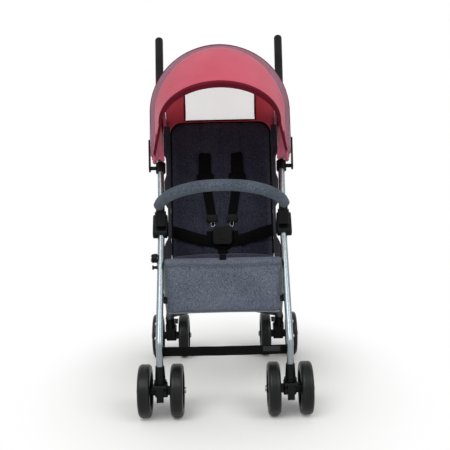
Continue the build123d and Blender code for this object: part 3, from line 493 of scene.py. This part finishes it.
wing = {"rearLow": (0.022, 0.368), "frontLow": (-0.143, 0.418),
        "rearHigh": (0.141, 0.793), "frontHigh": (0.116, 0.793), "rearSide": 0.1605}
for side in (-1, 1):
    bm = bmesh.new()
    bmesh.ops.create_grid(bm, x_segments=18, y_segments=44, size=0.5)
    for vert in bm.verts:
        s, t = vert.co.x + 0.5, vert.co.y + 0.5
        low = Vector(wing["rearLow"]).lerp(Vector(wing["frontLow"]), s)
        high = Vector(wing["rearHigh"]).lerp(Vector(wing["frontHigh"]), s)
        y, z = low.lerp(high, t)
        tubeSide = 0.1668 + 0.0372 * max(z - 0.506, 0)  # laced to the tube
        tubeSide -= 0.0092 * softStep(0.456, 0.470, z) * softStep(0.568, 0.556, z)  # drawn in past the housing
        tubeSide -= 0.0062 * softStep(0.634, 0.646, z) * softStep(0.708, 0.696, z)  # and past the clamp
        fold = 0.003 * noise.noise(Vector((y * 26, z * 11, side * 3.0))) * softStep(0, 0.1, t) * softStep(1, 0.8, s)
        x = wing["rearSide"] + (tubeSide - wing["rearSide"]) * softStep(0, 0.85, s) - abs(fold)
        vert.co = (side * x, y, z)
    obj = addMesh("seatWing" + tags[side], bm, seatCloth)
    thicken(obj, 0.002)
    fasten(obj, "seat_unit", narrow["wing"])
print("wings done")


# canopy

arch = {"wide": 0.207, "low": 0.214, "foot": 0.042, "spring": 0.165}  # half widths, then reach from the pivot
visorFront, visorBack, visorEnd = 49.5, 17.0, 16.4  # degrees about the pivot, 0 is upright
panelWall, visorInset = 0.0016, 0.0012


def archSweep(start, end, inset, steps, sag=0.0, pleat=0.0, taper=False, seam="", lip=0.0):
    bm = bmesh.new()
    wide, low, foot, spring = arch["wide"] - inset, arch["low"] - inset, arch["foot"], arch["spring"]
    lift = Matrix.Translation((0, 0, spring)) @ Matrix.Rotation(pi / 2, 4, "X")
    bmesh.ops.create_circle(bm, segments=72, radius=wide, matrix=lift)
    bmesh.ops.delete(bm, geom=[v for v in bm.verts if v.co.z < spring - 1e-5], context="VERTS")
    ends = [v for v in bm.verts if v.co.z < spring + 1e-5]
    legs = bmesh.ops.extrude_vert_indiv(bm, verts=ends)
    for vert in legs["verts"]:
        vert.co = (copysign(low, vert.co.x), 0, foot)
    bmesh.ops.subdivide_edges(bm, edges=legs["edges"], cuts=11)
    bmesh.ops.rotate(bm, verts=bm.verts, cent=(0, 0, 0), matrix=Matrix.Rotation(radians(start), 3, "X"))
    bmesh.ops.spin(bm, geom=bm.verts[:] + bm.edges[:], axis=(1, 0, 0), cent=(0, 0, 0), dvec=(0, 0, 0),
                   angle=radians(end - start), steps=steps)
    bmesh.ops.remove_doubles(bm, verts=bm.verts, dist=1e-6)
    for vert in bm.verts:
        reach = hypot(vert.co.y, vert.co.z)
        turn = atan2(-vert.co.y, vert.co.z)
        u = (turn - radians(start)) / radians(end - start)
        side, x = copysign(1, vert.co.x), abs(vert.co.x)
        rise = min(max(reach - spring, 0) / wide, 1)
        leg = max(spring - reach, 0) / (spring - foot)
        if seam:  # the pink panel is a crescent, the heathered one behind it fills the rest
            line = 21.5 + 12.5 * (1 - rise * rise) + 14 * leg
            turn = radians(start + u * (line - start) if seam == "front" else line + u * (end - line))
        if taper:  # the opening is narrower than the middle of the canopy
            front = (turn - radians(visorBack)) / radians(visorFront - visorBack)
            thin = 0.035 * max(front, 0)
            if reach > spring + 1e-5:
                x = x * (wide - thin) / wide
                reach = spring + thin + (reach - spring) * (wide - thin) / wide
            else:
                climb = (reach - foot) / (spring - foot)
                reach = foot + (spring + thin - foot) * climb
                x = (low - 0.008 * max(front, 0)) * (1 - climb) + (wide - thin) * climb
        if lip:  # narrow strip hanging inside the front edge
            turn = radians(start)
            depth = u * lip * (0.3 + 0.7 * rise)
            x -= depth * (1 - rise * rise) ** 0.5
            reach -= depth * rise
        dip = sag * sin(pi * u) * softStep(0.06, 0.3, reach)
        crimp = pleat * softStep(0.21, 0.05, reach) * (0.5 - 0.5 * cos(turn * 34 + 6 * reach))
        if x > 0.15:
            x -= dip * 0.5 + crimp
        reach -= dip
        vert.co = (side * x, -sin(turn) * reach, cos(turn) * reach)
    bmesh.ops.translate(bm, vec=canopyAxis, verts=bm.verts)
    return bm


bm = archSweep(visorFront, visorEnd, visorInset, 14, 0.002, 0.004, True, "front")
visor = addMesh("visor", bm, visorPink, lining)
thicken(visor, panelWall, 0.0, 1)
fasten(visor, "canopy_visor", narrow["canopy"])
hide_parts("canopy_visor")
bm = archSweep(visorFront, visorEnd, visorInset, 12, 0.001, 0.004, True, "back")
visorBand = addMesh("visorBand", bm, canopyMauve, lining)
thicken(visorBand, panelWall, 0.0, 1)
fasten(visorBand, "canopy_visor", narrow["canopy"])

tape = {"ahead": 0.2, "behind": 1.2, "wall": 0.0034, "lip": 0.017}  # binding of the front edge
bm = archSweep(visorFront + tape["ahead"], visorFront - tape["behind"], 0.0008, 2, taper=True)
visorTape = addMesh("visorTape", bm, maroonTape)
thicken(visorTape, tape["wall"])
fasten(visorTape, "canopy_visor", narrow["canopy"])
bm = archSweep(visorFront - tape["ahead"], visorFront - tape["behind"], 0.0020, 3, taper=True, lip=tape["lip"])
visorLip = addMesh("visorLip", bm, maroonTape)
thicken(visorLip, panelWall)
fasten(visorLip, "canopy_visor", narrow["canopy"])

bow = {"half": 0.1675, "spring": 0.2, "foot": 0.048, "spread": 0.034, "turn": radians(48.4), "radius": 0.0018}
bowLine = []
for k in range(-16, 17):  # sprung wire inside the front edge
    a = pi / 2 * max(min(k / 12, 1), -1)
    drop = max(abs(k) - 12, 0) / 4  # 0 on the arch, 1 at the clamp
    x = bow["half"] * sin(a) + copysign(bow["spread"] * drop, k)
    reach = (bow["spring"] + bow["half"] * cos(a)) * (1 - drop) + bow["foot"] * drop
    bowLine.append(canopyAxis + Vector((x, -sin(bow["turn"]) * reach, cos(bow["turn"]) * reach)))
bowWire = tube("bowWire", bowLine, bow["radius"], steel)
fasten(bowWire, "canopy_visor", narrow["canopy"])
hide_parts("canopy_bow")

visorSeam = addMesh("visorSeam", archSweep(17.4, 16.7, 0.0004, 1), maroonTape)
thicken(visorSeam, 0.002)
fasten(visorSeam, "canopy_visor", narrow["canopy"])
for side in (-1, 1):  # gathered corner that tucks in round the front of the tube
    bm = bmesh.new()
    bmesh.ops.create_grid(bm, x_segments=16, y_segments=22, size=0.5)
    for vert in bm.verts:
        s, t = vert.co.x + 0.5, vert.co.y + 0.5
        reach = 0.030 + 0.120 * t
        outer = 0.206 - 0.018 * t
        inner = 0.170 + 0.006 * t
        turn = radians(49 - 26 * s * s - 4 * t)
        x = outer + (inner - outer) * s
        ruffle = 0.004 * sin(13 * s + 5 * t) * (1 - t)
        ruffle += 0.003 * noise.noise(Vector((s * 4, t * 6, side * 5.0)))
        droop = 0.006 * sin(9 * s) * (1 - t)
        vert.co = canopyAxis + Vector((side * x, -sin(turn) * reach - ruffle, cos(turn) * reach - droop))
    tail = addMesh("visorTail" + tags[side], bm, tailPink)
    thicken(tail, 0.0014)
    fasten(tail, "canopy_visor", narrow["canopy"])

midCover = addMesh("midCover", archSweep(16.8, -7.2, 0.0042, 12, 0.003, 0.006), canopyMauve, lining)
thicken(midCover, panelWall, 0.0, 1)
fasten(midCover, "canopy_mid", narrow["canopy"])
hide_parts("canopy_mid")

rear = {"turn": 31, "inset": 0.0072}
bm = archSweep(-6.6, -rear["turn"], rear["inset"], 12, 0.003, 0.006)
rearCover = addMesh("rearCover", bm, canopyMauve, lining)
thicken(rearCover, panelWall, 0.0, 1)
fasten(rearCover, "seat_unit", narrow["canopy"])
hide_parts("canopy_rear")
print("canopy panels done")


# rear curtain and window

hang = {"half": 0.176, "hemY": 0.2165, "hemZ": 0.803, "sideLow": 0.033}
pane = {"half": 0.114, "low": 0.809, "top": 0.921}
rearTurn = radians(rear["turn"])


def archReach(x):  # the last arch, from the pivot
    return arch["spring"] + ((arch["wide"] - rear["inset"]) ** 2 - x * x) ** 0.5


def archTop(x):
    return canopyAxis.z + cos(rearTurn) * archReach(x)


def paneTop(x):
    return min(pane["top"] - 1.7 * min(abs(x), pane["half"]) ** 2, archTop(x) - 0.01)


def curtainPoint(x, z):  # hangs from the last arch to the hem
    topY, topZ = canopyAxis.y + sin(rearTurn) * archReach(x), archTop(x)
    t = (topZ - z) / (topZ - hang["hemZ"])
    wave = 0.003 * sin(pi * min(max(t, 0), 1)) * sin(x * 60)
    return Vector((x, topY + (hang["hemY"] - topY) * t + wave, z))


margin = hang["half"] - pane["half"]
columns = [margin * k / 6 - hang["half"] for k in range(6)]
columns += [pane["half"] * (k / 15 - 1) for k in range(31)]
columns += [pane["half"] + margin * k / 6 for k in range(1, 7)]


def curtainPart(name, isFilm, *mats):  # one grid for the cloth and the film let into it
    bm = bmesh.new()
    bmesh.ops.create_grid(bm, x_segments=42, y_segments=20, size=0.5)
    for vert in bm.verts:
        x, row = columns[round((vert.co.x + 0.5) * 42)], round((vert.co.y + 0.5) * 20)
        low = hang["hemZ"] - hang["sideLow"] * softStep(0.118, 0.14, abs(x))  # reaches down behind the back pad
        z = low + (pane["low"] - low) * min(row, 1)
        z += (paneTop(x) - pane["low"]) * min(max(row - 1, 0), 12) / 12
        vert.co = curtainPoint(x, z + (archTop(x) - paneTop(x)) * max(row - 13, 0) / 7)
    middle = [f.calc_center_median() for f in bm.faces]
    inside = [abs(p.x) < pane["half"] and pane["low"] < p.z < paneTop(p.x) for p in middle]
    bmesh.ops.delete(bm, geom=[f for f, clear in zip(bm.faces, inside) if clear != isFilm], context="FACES")
    return addMesh(name, bm, *mats)


curtain = curtainPart("curtain", False, canopyMauve, lining)
thicken(curtain, panelWall, 0.0, 1)
fasten(curtain, "seat_unit", narrow["curtain"])
for side in (-1, 1):  # lining of the sides, inside the push tubes
    bm = bmesh.new()
    bmesh.ops.create_grid(bm, x_segments=10, y_segments=20, size=0.5)
    for vert in bm.verts:
        s, t = vert.co.x + 0.5, vert.co.y + 0.5
        z = 0.762 + 0.145 * t
        behind = curtainPoint(hang["half"], min(z, archTop(hang["half"])))
        y = 0.100 + 0.02 * t + (behind.y - 0.100 - 0.02 * t) * s
        vert.co = (side * (0.1762 + 0.0050 * t - 0.0012 * s), y, z)
    looks = (lining, canopyMauve) if side < 0 else (canopyMauve, lining)
    obj = addMesh("sideLining" + tags[side], bm, *looks)
    thicken(obj, 0.0014, 0.0, 1)
    fasten(obj, "seat_unit", narrow["curtain"])

window = curtainPart("window", True, clearFilm)
thicken(window, 0.0008)
fasten(window, "seat_unit", narrow["curtain"])
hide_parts("canopy_window")
across = [pane["half"] * k / 8 for k in range(-8, 9)]
upward = (0.83, 0.855, 0.88)
ring = [curtainPoint(x, pane["low"]) for x in across] + [curtainPoint(pane["half"], z) for z in upward]
ring += [curtainPoint(x, paneTop(x)) for x in across[::-1]]
ring += [curtainPoint(-pane["half"], z) for z in upward[::-1]]
ring = [p - Vector((0, 0.001, 0)) for p in ring]
windowTape = tube("windowTape", ring, 0.0026, maroonTape, closed=True, kind="POLY")
fasten(windowTape, "seat_unit", narrow["curtain"])
print("curtain done")


# bumper sleeve

bumper = {"half": 0.180, "sag": 0.150, "slope": radians(26.6), "radius": 0.0172, "frontY": -0.255, "frontZ": 0.640}
arcRadius = (bumper["half"] ** 2 + bumper["sag"] ** 2) / (2 * bumper["sag"])
span = atan2(bumper["half"], arcRadius - bumper["sag"])
bumperLine = []
for k in range(41):
    a = span * (k / 20 - 1)
    behind = arcRadius * (1 - cos(a))
    y = bumper["frontY"] + behind * cos(bumper["slope"])
    z = bumper["frontZ"] - behind * sin(bumper["slope"])
    bumperLine.append((arcRadius * sin(a), y, z))
sleeve = tube("sleeve", bumperLine, bumper["radius"], bumperCloth, kind="POLY")
smoother(sleeve, 2)
bake(sleeve)
for vert in sleeve.data.vertices:  # gathered at the ends, slightly uneven foam between
    near = min(bumperLine, key=lambda q: (vert.co - Vector(q)).length_squared)
    out = (vert.co - Vector(near)).normalized()
    end = softStep(0.135, 0.178, abs(vert.co.x))
    gather = end * 0.0016 * noise.noise(Vector((vert.co.x * 160, vert.co.y * 60, vert.co.z * 60)))
    ripple = noise.noise(vert.co * 22) * 0.0009 + gather
    vert.co += out * (ripple - 0.0012 * end)
fasten(sleeve, "bumper_bar")
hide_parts("bumper_sleeve")
print("sleeve done")


# harness

def strap(name, line, mat, thickness=0.0022):  # line holds pairs of edge points
    bm = bmesh.new()
    first = [bm.verts.new(p) for p in line[0]]
    edge = bm.edges.new(first)
    for left, right in line[1:]:
        grown = bmesh.ops.extrude_edge_only(bm, edges=[edge])["geom"]
        ends = [g for g in grown if isinstance(g, bmesh.types.BMVert)]
        edge = [g for g in grown if isinstance(g, bmesh.types.BMEdge)][0]
        ends.sort(key=lambda v: (v.co - left).length)
        ends[0].co, ends[1].co = left, right
    obj = addMesh(name, bm, mat)
    thicken(obj, thickness)
    soft = obj.modifiers.new("edge", "BEVEL")
    soft.width = 0.0008
    soft.segments = 2
    return obj


def ribbon(points, half):  # edge points of a strap that runs along the middle
    return [(p - Vector((half, 0, 0)), p + Vector((half, 0, 0))) for p in points]


def onBack(x, along, height):
    return backFrame @ Vector((x, along, height))


# across, along the back, half width, height
shoulderRows = [(0.050, 0.342, 0.0145, 0.0225), (0.050, 0.30, 0.0145, 0.0245), (0.050, 0.262, 0.0145, 0.026),
                (0.043, 0.21, 0.0145, 0.0255), (0.036, 0.165, 0.0145, 0.025), (0.031, 0.132, 0.0145, 0.0255),
                (0.030, 0.112, 0.008, 0.025)]
shoulderPad = {"half": 0.0185, "start": 0.262, "end": 0.338, "low": 0.0245, "high": 0.0315, "corner": 0.006}
shoulderTee = {"half": 0.027, "start": 0.250, "end": 0.274, "low": 0.025, "high": 0.0335, "corner": 0.008}
adjuster = {"half": 0.017, "start": 0.120, "end": 0.144, "low": 0.0245, "high": 0.031, "corner": 0.005}
harness = []
for side in (-1, 1):
    line = [(onBack(side * x - w, l, h), onBack(side * x + w, l, h)) for x, l, w, h in shoulderRows]
    harness.append(strap("shoulderStrap" + tags[side], line, strapBlack))
    onStrap = backFrame @ Matrix.Translation((side * 0.050, 0, 0))
    harness.append(addMesh("shoulderPad" + tags[side], slab(onStrap, *shoulderPad.values()), strapBlack))
    harness.append(addMesh("shoulderTee" + tags[side], slab(onStrap, *shoulderTee.values()), strapBlack))
    atEnd = backFrame @ Matrix.Translation((side * 0.031, 0, 0))
    harness.append(addMesh("adjuster" + tags[side], slab(atEnd, *adjuster.values()), blackPlastic))
for obj in harness:
    fasten(obj, "backrest", narrow["back"])
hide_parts("shoulder_harness")

waistRows = [(0.0315, 0.058, 0.0155, 0.0255), (0.07, 0.067, 0.0170, 0.0265), (0.115, 0.081, 0.0185, 0.027),
             (0.1565, 0.092, 0.0190, 0.027)]
crotchPad = {"half": 0.049, "start": -0.014, "end": 0.044, "low": 0.0215, "high": 0.0285, "corner": 0.024}
lap = []
for side in (-1, 1):
    line = [(onBack(side * x, l - w, h), onBack(side * x, l + w, h)) for x, l, w, h in waistRows]
    lap.append(strap("waistStrap" + tags[side], line, strapBlack, 0.006))
crotchLine = [onBack(0, 0.047, 0.0245), onBack(0, 0.034, 0.0245)]
crotchLine += [seatFrame @ Vector((0, along, h)) for along, h in ((0.034, 0.0225), (0.12, 0.0225), (0.206, 0.0205))]
lap.append(strap("crotchStrap", ribbon(crotchLine, 0.0145), strapBlack))
underBuckle = backFrame @ Matrix.Translation((0, 0.078, 0)) @ Matrix.Rotation(pi, 4, "Z")
bm = slab(underBuckle, *crotchPad.values())
for vert in bm.verts:  # pad behind the buckle, narrower below
    vert.co.x *= 0.5 + 0.5 * softStep(0.405, 0.44, vert.co.z)
lap.append(addMesh("crotchPad", bm, strapBlack))
for obj in lap:
    fasten(obj, "seat_unit", narrow["seat"])
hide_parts("lap_harness")

overFront = [radians(d) for d in (112, 90, 66, 42, 20)]  # over the seat's front edge
tabLine = [seatEnd + 0.0168 * Vector((0, -cos(a), sin(a))) for a in overFront]
frontTab = strap("frontTab", ribbon(tabLine, 0.0095), strapBlack)
fasten(frontTab, "seat_unit", narrow["seat"])

wireLoop = {"x": 0.0295, "along": 0.114, "height": 0.0262, "half": 0.006, "tall": 0.009, "radius": 0.0010}
for side in (-1, 1):  # between the adjuster and the buckle
    loop = []
    for a in [2 * pi * k / 16 for k in range(16)]:
        x, along = side * wireLoop["x"] + wireLoop["half"] * cos(a), wireLoop["along"] + wireLoop["tall"] * sin(a)
        loop.append(onBack(x, along, wireLoop["height"]))
    clip = tube("wireLoop" + tags[side], loop, wireLoop["radius"], steel, closed=True, kind="POLY")
    fasten(clip, "backrest", narrow["back"])
print("harness done")


# foot strap

foot = {"half": 0.178, "legY": -0.294, "loop": 0.0115, "tall": 0.026, "middle": 0.1885}
footLow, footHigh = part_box("foot_strap")
footBack = footHigh[1] - 0.0012
band = []
for side in (-1, 1):
    bm = bmesh.new()
    atLeg = Matrix.Translation((side * foot["half"], foot["legY"], footLow[2] + 0.0005))
    bmesh.ops.create_circle(bm, segments=32, radius=foot["loop"], matrix=atLeg)
    ahead = [v for v in bm.verts if v.co.y < foot["legY"] - 0.0001]
    bmesh.ops.delete(bm, geom=ahead, context="VERTS")  # open towards the front
    up = bmesh.ops.extrude_edge_only(bm, edges=bm.edges)["geom"]
    raised = [g for g in up if isinstance(g, bmesh.types.BMVert)]
    bmesh.ops.translate(bm, vec=(0, 0, foot["tall"]), verts=raised)
    band.append(addMesh("footLoop" + tags[side], bm, strapBlack))
bm = bmesh.new()
bmesh.ops.create_grid(bm, x_segments=48, y_segments=6, size=0.5)
for vert in bm.verts:
    s, t = vert.co.x, vert.co.y
    sag = 0.0012 * cos(pi * s)
    y = footBack + 0.0006 * sin(s * 30) * cos(pi * s)
    vert.co = (s * 2 * foot["half"], y, foot["middle"] + t * foot["tall"] - sag)
band.append(addMesh("footBand", bm, strapBlack))
for obj, body, keep in zip(band, ("left_side", "right_side", "seat_unit"), (None, None, narrow["foot"])):
    thicken(obj, 0.0018)
    fasten(obj, body, keep)
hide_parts("foot_strap")

patch = {"half": 0.024, "start": 0.0, "end": 0.014, "low": 0.0, "high": 0.0012, "corner": 0.002}
patchFrame = frameOf(Vector((0.128, footBack - 0.001, 0.184)), Vector((0, 0, 1)), Vector((0, -1, 0)))
footPatch = addMesh("footPatch", slab(patchFrame, *patch.values()), patchCloth)
fasten(footPatch, "seat_unit", narrow["foot"])
print("straps done")


# spool on the left front leg, under the storage latch

spoolOutline = [(0.0, 0.0050), (0.004, 0.0046), (0.0065, 0.0040), (0.0105, 0.0040), (0.0120, 0.0066),
                (0.0146, 0.0068), (0.0152, 0.0055), (0.0153, 0.0)]  # along the axle, radius
onLeg = Matrix.Translation((-0.1868, -0.1606, 0.399)) @ Matrix.Rotation(pi, 4, "Z")
bm = bmesh.new()
dots = [bm.verts.new((x, 0, r)) for x, r in spoolOutline]
edges = [bm.edges.new(pair) for pair in zip(dots, dots[1:])]
bmesh.ops.spin(bm, geom=dots + edges, axis=(1, 0, 0), cent=(0, 0, 0), dvec=(0, 0, 0),
               angle=2 * pi, steps=28, use_merge=True)
bmesh.ops.remove_doubles(bm, verts=bm.verts, dist=1e-6)
bmesh.ops.transform(bm, matrix=onLeg, verts=bm.verts)
spool = addMesh("latchSpool", bm, blackPlastic)
fasten(spool, "left_side")
print("spool done")


# floor, light, camera

def seenDirectly(nodes, links):  # by the camera, in a reflection or through the film
    path = nodes.new("ShaderNodeLightPath")
    seen = mathNode(nodes, links, "MAXIMUM", path.outputs["Is Camera Ray"], path.outputs["Is Glossy Ray"])
    return mathNode(nodes, links, "MAXIMUM", seen, path.outputs["Is Transmission Ray"])


bm = bmesh.new()
bmesh.ops.create_grid(bm, x_segments=1, y_segments=1, size=9.0)
floor = addMesh("floor", bm)
mat, nodes, links, shader = startMaterial("floorPale")
cloud = noiseTex(nodes, links, objectSpace(nodes, links), 3, 2)
pale = ramp(nodes, links, cloud, [(0.3, srgb(245, 244, 240)), (0.7, srgb(250, 249, 246))])
links.new(pale, shader.inputs["Base Color"])
shader.inputs["Roughness"].default_value = 0.7
glow = nodes.new("ShaderNodeEmission")
away = nodes.new("ShaderNodeVectorMath")
away.operation = "LENGTH"
links.new(objectSpace(nodes, links, (1.1, 0.8, 1)), away.inputs[0])
fade = nodes.new("ShaderNodeMapRange")  # floor runs into the white backdrop
fade.interpolation_type = "SMOOTHSTEP"
fade.inputs["From Min"].default_value = 0.22
fade.inputs["From Max"].default_value = 0.72
links.new(away.outputs["Value"], fade.inputs["Value"])
share = mathNode(nodes, links, "MULTIPLY", fade.outputs["Result"], seenDirectly(nodes, links))
mix = nodes.new("ShaderNodeMixShader")
links.new(share, mix.inputs["Fac"])
links.new(shader.outputs[0], mix.inputs[1])
links.new(glow.outputs[0], mix.inputs[2])
links.new(mix.outputs[0], nodes["Material Output"].inputs["Surface"])
floor.data.materials.append(mat)

world = bpy.data.worlds.new("studio")
scene.world = world
world.use_nodes = True
nodes, links = world.node_tree.nodes, world.node_tree.links
sky = nodes["Background"]
sky.inputs["Color"].default_value = (0.86, 0.88, 0.9, 1)
sky.inputs["Strength"].default_value = 0.55
white = nodes.new("ShaderNodeBackground")
white.inputs["Color"].default_value = (1, 1, 1, 1)
white.inputs["Strength"].default_value = 1.0
mix = nodes.new("ShaderNodeMixShader")
links.new(seenDirectly(nodes, links), mix.inputs["Fac"])
links.new(sky.outputs[0], mix.inputs[1])
links.new(white.outputs[0], mix.inputs[2])
links.new(mix.outputs[0], nodes["World Output"].inputs["Surface"])


def softBox(name, place, aim, size, power):
    data = bpy.data.lights.new(name, "AREA")
    data.shape = "DISK"
    data.size = size
    data.energy = power
    lamp = bpy.data.objects.new(name, data)
    lamp.location = place
    lamp.rotation_euler = (Vector(aim) - Vector(place)).to_track_quat("-Z", "Y").to_euler()
    scene.collection.objects.link(lamp)


softBox("keyBox", (-2.4, -4.4, 5.5), (0, 0, 0.5), 4.4, 215)
softBox("fillBox", (3.6, -3.6, 4.3), (0, 0, 0.5), 4.0, 120)

eye = bpy.data.cameras.new("eye")
eye.lens = 61.15
eye.sensor_width = 36
camera = bpy.data.objects.new("eye", eye)
view = {"place": (0.0062, -2.3045, 0.8245), "heading": -0.053, "down": 8.154, "roll": -1.243}  # metres, degrees
camera.matrix_world = (Matrix.Translation(view["place"]) @ Matrix.Rotation(radians(view["heading"]), 4, "Z")
                       @ Matrix.Rotation(pi / 2 - radians(view["down"]), 4, "X")
                       @ Matrix.Rotation(radians(view["roll"]), 4, "Z"))
scene.collection.objects.link(camera)
scene.camera = camera
print("stage done")
